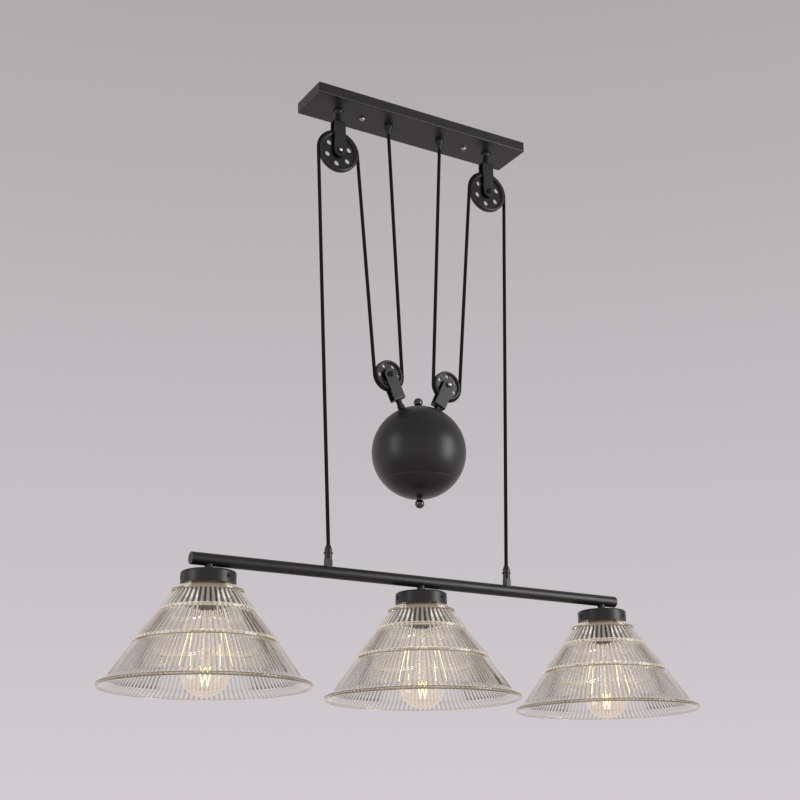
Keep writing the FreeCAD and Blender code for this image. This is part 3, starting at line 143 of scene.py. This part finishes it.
class Finish:
    """The shader nodes of one material, or of the world."""

    def __init__(self, owner):
        self.owner = owner
        owner.use_nodes = True
        self.tree = owner.node_tree
        self.tree.nodes.clear()

    def node(self, kind, settings, sockets, output=0):
        """Add a node of a type, with its settings set first and then its sockets' values or links."""
        made = self.tree.nodes.new(kind)
        for name, value in settings.items():
            if name == "stops":
                self.set_stops(made.color_ramp, value)
            else:
                setattr(made, name, value)
        for name, value in sockets.items():
            if isinstance(value, Wire):
                self.tree.links.new(value.socket, made.inputs[name])
            else:
                made.inputs[name].default_value = value
        return Wire(self, made.outputs[output]) if made.outputs else None

    def set_stops(self, ramp, stops):
        """Give a ramp its stops, each a place and a colour."""
        while len(ramp.elements) < len(stops):
            ramp.elements.new(1)
        for element, (where, colour) in zip(ramp.elements, stops):
            element.position = where
            element.color = colour

    def place(self, kind="Object"):
        """Coordinates: the piece's own in metres, its UV map or, in the room, a ray's direction."""
        return self.node("ShaderNodeTexCoord", {}, {}, kind)

    def part(self, vector, axis):
        """One coordinate of a vector, X, Y or Z."""
        return self.node("ShaderNodeSeparateXYZ", {}, {"Vector": vector}, axis)

    def noise(self, grain, detail=3):
        """Cloudy noise from 0 to 1, whose patches are about grain metres across."""
        sockets = {"Vector": self.place(), "Scale": 1 / grain, "Detail": detail}
        return self.node("ShaderNodeTexNoise", {}, sockets)

    def mixed(self, factor, first, second):
        """A colour between two colours."""
        sockets = {0: factor, 6: first, 7: second}
        return self.node("ShaderNodeMix", {"data_type": "RGBA"}, sockets, 2)

    def relief(self, height, depth):
        """The normal of a surface raised by height times depth metres."""
        return self.node("ShaderNodeBump", {}, {"Height": height, "Distance": depth})

    def surface(self, **sockets):
        """The Principled surface of the material; words of a socket's name are joined by _."""
        named = {name.replace("_", " "): value for name, value in sockets.items()}
        shader = self.node("ShaderNodeBsdfPrincipled", {}, named)
        self.node("ShaderNodeOutputMaterial", {}, {"Surface": shader})
        return self.owner


def braided_flex():
    """Black polyester braid: two sets of strands wound opposite ways, with a dull sheen."""
    finish = Finish(bpy.data.materials.new("braided_flex"))
    uv = finish.place("UV")
    along = finish.part(uv, "Y") * (2 * math.pi / BRAID_PITCH)
    around = finish.part(uv, "X") * (2 * math.pi * BRAID_ENDS)
    one_way = (along + around).sine()
    other_way = (along - around).sine()
    weave = one_way.larger(other_way) * 0.5 + 0.5
    fuzz = finish.noise(FUZZ_GRAIN)
    colour = finish.mixed((weave * 0.7 + fuzz * 0.3).clamped(), CORD_COLOUR, THREAD_COLOUR)
    return finish.surface(
        Base_Color=colour,
        Roughness=0.82 - weave * 0.12,
        Specular_IOR_Level=0.12,
        Normal=finish.relief(weave, BRAID_RELIEF),
    )


def spline_points(route):
    """The points of the smooth line that has the route's points as its control points."""
    curve = bpy.data.curves.new("route", "CURVE")
    curve.dimensions = "3D"
    curve.resolution_u = 8
    spline = curve.splines.new("NURBS")
    spline.points.add(len(route) - 1)
    for point, (x, z) in zip(spline.points, route):
        point.co = (x, 0, z, 1)
    spline.order_u = 3
    spline.use_endpoint_u = True
    carrier = bpy.data.objects.new("route", curve)
    line = bpy.data.meshes.new_from_object(carrier)
    points = np.array([vertex.co for vertex in line.vertices])
    bpy.data.objects.remove(carrier)
    bpy.data.curves.remove(curve)
    bpy.data.meshes.remove(line)
    return points


def mesh_object(name, points, faces, material, uv=None):
    """A piece from points, four-cornered faces and the UV point of each point."""
    mesh = bpy.data.meshes.new(name)
    mesh.from_pydata(points.tolist(), [], faces.tolist())
    mesh.shade_smooth()
    if uv is not None:
        layer = mesh.uv_layers.new(name="length")
        layer.data.foreach_set("uv", uv[faces].ravel())
    mesh.materials.append(material)
    made = bpy.data.objects.new(name, mesh)
    bpy.context.scene.collection.objects.link(made)
    return made


def cord_piece(name, route, material):
    """A round tube along a route in the plane of the cords, with its line and that line's length.

    Point (i, j) = line(i) + CORD / 2 * (cos(a_j) * normal(i) + sin(a_j) * across), where a_j is
    the angle around the cord, across is the Y axis and normal is square to both line and across.
    """
    line = spline_points(route)
    steps = np.linalg.norm(np.diff(line, axis=0), axis=1)
    length = np.concatenate([[0], np.cumsum(steps)])
    heading = np.gradient(line, length, axis=0)
    heading /= np.linalg.norm(heading, axis=1)[:, None]
    across = np.array([0, 1, 0])
    normal = np.cross(across, heading)
    angle = np.linspace(0, 2 * np.pi, ROUND_STEPS + 1)
    ring = np.cos(angle)[None, :, None] * normal[:, None] + np.sin(angle)[None, :, None] * across
    points = line[:, None] + ring * CORD / 2
    u, v = np.meshgrid(angle / (2 * np.pi), length)
    rows, columns = points.shape[:2]
    index = np.arange(rows * columns).reshape(rows, columns)
    quads = np.stack([index[:-1, :-1], index[:-1, 1:], index[1:, 1:], index[1:, :-1]], -1)
    uv = np.stack([u, v], -1).reshape(-1, 2)
    piece = mesh_object(name, points.reshape(-1, 3), quads.reshape(-1, 4), material, uv)
    return piece, line, float(length[-1])


def arc_route(axle, pitch, start, end):
    """Control points of an arc about an axle: the corners of the outline drawn round it."""
    first = math.atan2(start[1] - axle[1], start[0] - axle[0])
    last = math.atan2(end[1] - axle[1], end[0] - axle[0])
    if axle == UPPER_AXLE:
        last += 2 * math.pi if last < first else 0
    else:
        first += 2 * math.pi if first < last else 0
    half = (last - first) / ARC_CORNERS / 2
    reach = pitch / math.cos(half)
    route = [start]
    for i in range(ARC_CORNERS):
        angle = first + half * (2 * i + 1)
        route.append((axle[0] + reach * math.cos(angle), axle[1] + reach * math.sin(angle)))
    route.append(end)
    return route


def straight_route(start, end):
    """A taut stretch that reaches TUCK past both ends into the arcs, with one more point halfway."""
    run = np.subtract(end, start)
    tuck = run * TUCK / np.linalg.norm(run)
    return [tuple(start - tuck), tuple(start + run / 2), tuple(end + tuck)]


flex = braided_flex()
STRETCHES = (
    # name, route, body at its lower end or that it rides on, and how far past its first and its
    # last end to reach, as parts of its length
    ("lamp_run", straight_route(LEAVE_BAR, GRIP_MOUTH), "lamp_bar", 0, 0),
    ("upper_wrap", arc_route(UPPER_AXLE, UPPER_PITCH, LEAVE_BAR, LEAVE_UPPER), "canopy", 0, 0),
    ("middle_run", straight_route(LEAVE_UPPER, REACH_LOWER), "counterweight", 0.13, 0.13),
    ("lower_wrap", arc_route(LOWER_AXLE, LOWER_PITCH, REACH_LOWER, LEAVE_LOWER), "counterweight", 0, 0),
    ("feed_run", straight_route(OUTLET_MOUTH, LEAVE_LOWER), "counterweight", 0.13, 0.04),
)
for side, sign in (("left", -1), ("right", 1)):
    for stretch, route, body, before, after in STRETCHES:
        mirrored = [(sign * x, z) for x, z in route]
        name = f"cord_{stretch}_{side}"
        piece, line, length = cord_piece(name, mirrored, flex)
        if "run" in stretch:
            run = line[-1] - line[0]
            line[0] - run * before
            line[-1] + run * after
            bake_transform(piece)
            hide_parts(f"{stretch}_{side}")
        else:
            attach(piece, body)
            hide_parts(f"{stretch}s")


# Room: a pale floor far below the lamp and plain pale walls, lit by two tall soft boxes and the
# room's own even light. Paint, metal and glass show the walls and the floor as the camera sees
# them, and the soft boxes too, which the camera doesn't see.

HORIZON = (0.66, 0.62, 0.655, 1)
CEILING = (0.40, 0.38, 0.385, 1)
FLOOR_DROP = 3.0
FLOOR_FADE = (2.5, 9.0)
SOFT_BOXES = (
    # name, direction from the pendant, distance, width, height, power
    ("right_box", (0.68, -0.73, 0.05), 2.2, 0.9, 1.5, 22),
    ("left_box", (-1.0, 0.02, 0.15), 2.4, 0.8, 1.6, 9),
)
ROOM_LIGHT, ROOM_TINT = 0.62, (1, 0.985, 0.99, 1)
FLOOR_COLOUR = (0.6, 0.57, 0.59, 1)
MIDDLE = Vector((0, 0, -0.43))

world = bpy.data.worlds.new("room")
bpy.context.scene.world = world
room = Finish(world)
direction = room.place("Generated")
rise = room.part(direction, "Z")
walls = room.node(
    "ShaderNodeValToRGB",
    {"stops": [(0.0, HORIZON), (0.5, HORIZON), (0.82, CEILING), (1.0, CEILING)]},
    {0: rise * 0.5 + 0.5},
)
even_light = room.node("ShaderNodeBackground", {}, {"Color": ROOM_TINT, "Strength": ROOM_LIGHT})
backdrop = room.node("ShaderNodeBackground", {}, {"Color": walls, "Strength": 1})
seen = room.node("ShaderNodeLightPath", {}, {}, "Is Camera Ray")
for ray in ("Is Glossy Ray", "Is Transmission Ray"):
    seen = seen.larger(room.node("ShaderNodeLightPath", {}, {}, ray))
shown = room.node("ShaderNodeMixShader", {}, {0: seen, 1: even_light, 2: backdrop})
room.node("ShaderNodeOutputWorld", {}, {"Surface": shown})

floor_finish = Finish(bpy.data.materials.new("floor"))
spot = floor_finish.place()
distance = floor_finish.node("ShaderNodeVectorMath", {"operation": "LENGTH"}, {0: spot}, "Value")
fade = ((distance - FLOOR_FADE[0]) / (FLOOR_FADE[1] - FLOOR_FADE[0])).clamped()
paint = floor_finish.node("ShaderNodeBsdfDiffuse", {}, {"Color": FLOOR_COLOUR, "Roughness": 0.5})
open_air = floor_finish.node("ShaderNodeBsdfTransparent", {}, {})
laid = floor_finish.node("ShaderNodeMixShader", {}, {0: fade, 1: paint, 2: open_air})
floor_finish.node("ShaderNodeOutputMaterial", {}, {"Surface": laid})
floor_corners = np.array([(-1, -1, 0), (1, -1, 0), (1, 1, 0), (-1, 1, 0)]) * FLOOR_FADE[1]
floor = mesh_object("floor", floor_corners, np.array([(0, 1, 2, 3)]), floor_finish.owner)
floor.location.z = -FLOOR_DROP

for name, aim, distance_away, width, height, power in SOFT_BOXES:
    lamp = bpy.data.lights.new(name, "AREA")
    lamp.shape = "RECTANGLE"
    lamp.size, lamp.size_y, lamp.energy = width, height, power
    box = bpy.data.objects.new(name, lamp)
    bpy.context.scene.collection.objects.link(box)
    outward = Vector(aim).normalized()
    box.location = MIDDLE + outward * distance_away
    box.rotation_euler = outward.to_track_quat("Z", "Y").to_euler()
    box.visible_camera = False


# Canopy: a pressed steel pan, painted satin black. Two bright domed nuts hold it on the studs of a
# bracket that is screwed to the ceiling. It hides the cords' cores and their terminals.

BLACK = (0.0085, 0.0075, 0.0071, 1)
BLACK_WORN = (0.014, 0.0125, 0.0118, 1)
# The colour below is a painted highlight: lighter paint on pressed edges, seams and sheave rims, where
# they would catch the light.
EDGE_HIGHLIGHT = (0.075, 0.068, 0.063, 1)
BRIGHT = (0.62, 0.60, 0.57, 1)
STEEL = (0.42, 0.41, 0.40, 1)
CLOUD_GRAIN, PEEL_GRAIN, PEEL_RELIEF = 0.05, 0.0011, 0.00003
TARNISH_GRAIN, BRUSH_GRAIN, BRUSH_RELIEF = 0.004, 0.0003, 0.00001


def line_at(coordinate, place, half):
    """A soft line where a coordinate passes a place: 1 there, and 0 half its width away."""
    return (1 - (coordinate - place).absolute() * (1 / half)).clamped()


def paint_finish(name, colour, lighter, roughness, highlight_lines=None):
    """Satin paint: a trace of orange peel, cloudy gloss, and a painted highlight on the lines that the
    given mask marks.
    """
    finish = Finish(bpy.data.materials.new(name))
    cloud = finish.noise(CLOUD_GRAIN, 4)
    peel = finish.noise(PEEL_GRAIN, 2)
    tone = finish.mixed((cloud * 0.8 + peel * 0.2).clamped(), colour, lighter)
    if highlight_lines:
        # painted highlight: the marked lines are lightened, as edges that catch the light
        tone = finish.mixed(highlight_lines(finish) * (cloud * 0.6 + 0.6), tone, EDGE_HIGHLIGHT)
    return finish.surface(
        Base_Color=tone,
        Roughness=cloud * 0.10 + (roughness - 0.05),
        Specular_IOR_Level=0.5,
        Normal=finish.relief(peel, PEEL_RELIEF),
    )


def metal_finish(name, colour, darker, roughness):
    """Plated metal: fine brushing in its gloss and a faint cloud of tarnish."""
    finish = Finish(bpy.data.materials.new(name))
    cloud = finish.noise(TARNISH_GRAIN, 4)
    scratches = finish.noise(BRUSH_GRAIN, 2)
    return finish.surface(
        Base_Color=finish.mixed(cloud, darker, colour),
        Metallic=1,
        Roughness=scratches * 0.12 + (roughness - 0.06),
        Normal=finish.relief(scratches, BRUSH_RELIEF),
    )


def dress(material, *names):
    """Give CAD nodes their finish."""
    for name in names:
        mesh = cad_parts[name].data
        mesh.materials.clear()
        mesh.materials.append(material)


PAN_EDGE = 0.0012


def pan_edge_highlight(finish):
    """A painted highlight along the pressed lower edge of the pan."""
    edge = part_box("canopy_pan")[0][2] + PAN_EDGE
    return line_at(finish.part(finish.place(), "Z"), edge, PAN_EDGE * 0.8)


satin_black = paint_finish("satin_black_paint", BLACK, BLACK_WORN, 0.36)
pan_black = paint_finish("pan_paint", BLACK, BLACK_WORN, 0.36, pan_edge_highlight)
bright_plate = metal_finish("bright_nickel", BRIGHT, STEEL, 0.22)
zinc_plate = metal_finish("zinc_plate", STEEL, (0.30, 0.30, 0.30, 1), 0.38)
dress(satin_black, "feed_glands")
dress(pan_black, "canopy_pan")
dress(zinc_plate, "mounting_bracket", "bracket_studs", "feed_gland_nuts", "hanger_nuts")
dress(bright_plate, "canopy_cap_nuts")

terminal_white = paint_finish("terminal_plastic", (0.62, 0.6, 0.56, 1), (0.66, 0.64, 0.6, 1), 0.5)
lead_rubber = paint_finish("lead_sleeve", (0.02, 0.02, 0.02, 1), (0.03, 0.03, 0.03, 1), 0.6)
dress(terminal_white, "terminal_block")
dress(lead_rubber, "canopy_leads", "bar_lead_left", "bar_lead_right")


# Pulleys: moulded black sheaves in bent steel yokes, each on a shouldered axle with a domed nut.
# The upper yokes hang from the canopy on screws, and the lower ones stand on the ball.

NUT_BRIGHT, NUT_BLACK = (0.85, 0.82, 0.79, 1), (0.035, 0.032, 0.031, 1)
NUT_ROUGHNESS, SHEAVE_ROUGHNESS = 0.27, 0.20
DOME, DOME_FADE = 0.0026, 0.0006
SIDE_EDGE = 1000
SHEAVE_BLACK = (0.006, 0.0052, 0.005, 1)
HIGHLIGHT_HALF, RIM_CROWN = 0.0008, 0.5
SHEAVES = (
    # pair, outer and inner radius of the rim, and the side of X where the axle nut is all black
    ("upper", 0.0300, 0.0262, 1),
    ("lower", 0.0202, 0.0180, -1),
)


def off_axle(finish, pair):
    """Distance from the axle of the pulley on this side of the lamp."""
    low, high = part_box(f"{pair}_sheave_right")
    across = finish.part(finish.place(), "X").absolute() - (low[0] + high[0]) / 2
    up = finish.part(finish.place(), "Z") - (low[2] + high[2]) / 2
    return (across * across + up * up) ** 0.5


def nut_finish(pair, black_side):
    """Domed nuts, bright on the dome: black_side is the sign of X of the one that is all black."""
    finish = Finish(bpy.data.materials.new(f"{pair}_nuts"))
    black = (finish.part(finish.place(), "X") * (black_side * SIDE_EDGE) + 0.5).clamped()
    flats = ((off_axle(finish, pair) - DOME) * (1 / DOME_FADE)).clamped()
    cloud = finish.noise(0.002, 3)
    return finish.surface(
        Base_Color=finish.mixed((black.larger(flats) + cloud * 0.1).clamped(), NUT_BRIGHT, NUT_BLACK),
        Metallic=1,
        Roughness=cloud * 0.06 + NUT_ROUGHNESS,
    )


def sheave_finish(pair, outer, inner):
    """Moulded black wheel: the rim is rounded between two circles, which carry a painted highlight.

    Height of the rim = -((radius - middle) / half)^2, where half is half of the rim's width.
    """
    finish = Finish(bpy.data.materials.new(f"{pair}_sheave_black"))
    radius = off_axle(finish, pair)
    half = (outer - inner) / 2
    turn = (radius - (outer + inner) / 2) * (1 / half)
    crown = (turn * turn).clamped() * -1
    # painted highlight: thin light circles at both edges of the rim
    rim_highlight = line_at(radius, outer, HIGHLIGHT_HALF).larger(line_at(radius, inner, HIGHLIGHT_HALF))
    cloud = finish.noise(0.01, 3)
    return finish.surface(
        Base_Color=finish.mixed(rim_highlight * (cloud * 0.6 + 0.6), SHEAVE_BLACK, EDGE_HIGHLIGHT),
        Roughness=cloud * 0.10 + SHEAVE_ROUGHNESS,
        Normal=finish.relief(crown, half * RIM_CROWN),
    )


black_screw = metal_finish("black_oxide", (0.028, 0.026, 0.025, 1), (0.015, 0.014, 0.014, 1), 0.3)
dress(satin_black, "upper_yoke_left", "upper_yoke_right", "lower_yoke_left", "lower_yoke_right")
dress(satin_black, "hanger_beads", "hanger_sleeves")
for pair, outer, inner, black_side in SHEAVES:
    dress(sheave_finish(pair, outer, inner), f"{pair}_sheave_left", f"{pair}_sheave_right")
    dress(nut_finish(pair, black_side), f"{pair}_axle_nuts")
dress(black_screw, "hanger_screws", "upper_axles", "lower_axles", "weight_screws", "weight_nuts")


# Counterweight: a spun steel ball in two pieces round iron discs, painted satin black. A tie rod
# with two round nuts holds it together.

SEAM_HALF = 0.0007
black_nickel = metal_finish("black_nickel", (0.13, 0.125, 0.12, 1), (0.09, 0.088, 0.085, 1), 0.12)
cast_iron = paint_finish("cast_iron", (0.10, 0.095, 0.09, 1), (0.16, 0.15, 0.14, 1), 0.7)


def seam_highlight(finish):
    """A painted highlight along the two bevelled edges where the cap meets the shell."""
    return line_at(finish.part(finish.place(), "Z"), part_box("weight_shell")[0][2], SEAM_HALF)


ball_black = paint_finish("ball_paint", BLACK, BLACK_WORN, 0.36, seam_highlight)
dress(ball_black, "weight_shell", "weight_cap")
dress(black_nickel, "weight_finials")
dress(cast_iron, "ballast_discs")
dress(zinc_plate, "tie_rod")


# Lamp bar: a steel tube with plugged ends, painted satin black, with the cord grips on top and
# three threaded spacers below, which carry the cups.

dress(satin_black, "bar_tube", "bar_end_caps", "bar_glands", "bar_gland_nuts", "cup_nipples")


# Cups and lampholders: spun steel cups over the neck of the glass, each with three flush screws
# under the glass's lip, and black moulded holders inside.

phenolic = paint_finish("phenolic", (0.014, 0.012, 0.011, 1), (0.022, 0.019, 0.017, 1), 0.32)
dress(satin_black, "lamp_cup_left", "lamp_cup_centre", "lamp_cup_right")
plug_black = paint_finish("plug_black", (0.003, 0.003, 0.003, 1), (0.006, 0.006, 0.006, 1), 0.7)
dress(plug_black, "cup_set_screws")
dress(phenolic, "lampholders")


# Glass shades: clear glass pressed in three conical tiers of upright ribs, with a bead above each
# tier, a plain neck in the cup and a round rim. The ribs are the CAD's own: the finish paints shade
# into their valleys, and on the smooth flare below them it draws the lines alone as painted shade.
# The glass also gives off painted light: a warm glow near the bulb, and pale light on beads and rim.

LAMP_PITCH = 0.3064
FILAMENT_DEPTH = 0.841
GLOW_REACH = 0.04
RIM_START, RIM_WIDTH = 0.121, 0.008
BEAD_DEPTHS, BEAD_HALF = (0.7370, 0.7615, 0.7985), 0.0032
TIERS = (
    # ribs, depths of the top and bottom, and how strong the painted shade in the valleys and the
    # painted highlight on the ridges are; the last row is the flare
    (48, 0.7385, 0.7600, 0.9, 0.10),
    (72, 0.7635, 0.7970, 0.3, 0.0),
    (120, 0.8000, 0.8400, 0.3, 0.0),
    (120, 0.8400, 0.8610, 0.4, 0.0),
)
# Painted shade for the rib valleys and a painted highlight for the ridges; the warm light, the edge
# light and the glows below are painted light that the glass gives off as emission.
PAINTED_VALLEY_SHADE, PAINTED_RIDGE_HIGHLIGHT = (0.14, 0.135, 0.13, 1), (0.95, 0.91, 0.87, 1)
NO_LIGHT, WARM, EDGE_LIGHT = (0, 0, 0, 1), (1.0, 0.72, 0.36, 1), (1.0, 0.86, 0.68, 1)
LAMP_GLOW, EDGE_GLOW = 0.14, 0.12
TIER_EDGE = 2000


def lamp_place(finish):
    """Across, along and down from the filament of a piece's own lamp, in metres."""
    spot = finish.place()
    across = finish.part(spot, "X").wrapped(LAMP_PITCH / 2)
    return across, finish.part(spot, "Y"), finish.part(spot, "Z") + FILAMENT_DEPTH


def near_filament(finish, reach):
    """Nearness to the filament of a piece's own lamp: 1 / (1 + (distance / reach)^2)."""
    across, along, down = lamp_place(finish)
    square = (across * across + along * along + down * down) * (1 / reach ** 2)
    return (square + 1) ** -1


def pressed_glass_finish():
    """Clear glass with the slight warm tint of pressed ware, giving off a painted warm glow near its
    lamp.

    A tier's turn is 2 * sin(ribs * bearing - 90 degrees): over 0 in a valley, under 0 on a ridge.
    """
    finish = Finish(bpy.data.materials.new("pressed_glass"))
    wave = finish.noise(0.02, 2)
    across, along = lamp_place(finish)[:2]
    radius = (across * across + along * along) ** 0.5
    bearing = finish.node("ShaderNodeMath", {"operation": "ARCTAN2"}, {0: along, 1: across})
    # painted highlight: the rim and the three beads glow pale, given off as emission
    edges = ((radius - RIM_START) / RIM_WIDTH).clamped() * 0.5
    height = finish.part(finish.place(), "Z")
    for depth in BEAD_DEPTHS:
        edges = edges.larger(1 - (height + depth).absolute() * (1 / BEAD_HALF))
    clear = finish.mixed(wave, (1.0, 0.985, 0.965, 1), (1.0, 0.998, 0.99, 1))
    # painted glow: warm emission near the filament, as if the glass were lit by its lamp
    painted_glow = finish.mixed(near_filament(finish, GLOW_REACH) * LAMP_GLOW, NO_LIGHT, WARM)
    for ribs, top, bottom, shade, spark in TIERS:
        inside = ((height + bottom) * TIER_EDGE).clamped() * ((height + top) * -TIER_EDGE).clamped()
        turn = (bearing * ribs - math.pi / 2).sine() * 2
        # painted shade in each rib's valley, and a painted highlight on the ridges in the next line
        clear = finish.mixed(turn.clamped() * inside * shade, clear, PAINTED_VALLEY_SHADE)
        painted_glow = finish.mixed((turn * -1).clamped() * inside * spark, painted_glow, PAINTED_RIDGE_HIGHLIGHT)
    return finish.surface(
        Base_Color=clear,
        Roughness=0.0,
        IOR=1.5,
        Specular_IOR_Level=0.25,
        Transmission_Weight=1,
        Emission_Color=finish.mixed(edges * EDGE_GLOW, painted_glow, EDGE_LIGHT),
        Emission_Strength=1.0,
    )


shade_glass = pressed_glass_finish()
dress(shade_glass, "glass_shade_left", "glass_shade_centre", "glass_shade_right")


# Bulbs: clear blown glass with a nickelled screw cap, screwed into the holder, and a glowing W of
# wire under the glass stem.

# The bulb glass's glow is painted light, given off by the glass as emission.
BULB_GLOW, BULB_GLOW_REACH = 0.12, 0.02
FILAMENT_GLOW = 5


def bulb_glass_finish():
    """Thin blown glass that gives off a painted warm glow, strongest near the filament."""
    finish = Finish(bpy.data.materials.new("blown_glass"))
    wave = finish.noise(0.03, 2)
    glow = near_filament(finish, BULB_GLOW_REACH)
    return finish.surface(
        Base_Color=finish.mixed(wave, (0.965, 0.945, 0.91, 1), (0.985, 0.97, 0.945, 1)),
        Roughness=0.0,
        IOR=1.45,
        Transmission_Weight=1,
        Emission_Color=finish.mixed(glow, NO_LIGHT, WARM),
        Emission_Strength=BULB_GLOW,
    )


def filament_finish():
    """A glowing filament, a little uneven along its length."""
    finish = Finish(bpy.data.materials.new("glowing_filament"))
    heat = finish.noise(0.004, 2)
    return finish.surface(
        Base_Color=(0.8, 0.5, 0.2, 1),
        Roughness=0.6,
        Emission_Color=finish.mixed(heat, (1.0, 0.58, 0.20, 1), (1.0, 0.74, 0.36, 1)),
        Emission_Strength=FILAMENT_GLOW,
    )


blown_glass = bulb_glass_finish()
filament = filament_finish()
nickel_cap = metal_finish("nickel_cap", (0.55, 0.53, 0.5, 1), (0.4, 0.39, 0.37, 1), 0.3)
dress(blown_glass, "bulb_left", "bulb_centre", "bulb_right")
dress(nickel_cap, "bulb_caps")
dress(filament, "bulb_filaments")


# The end: colours shown as written.

bpy.context.scene.view_settings.view_transform = "Standard"
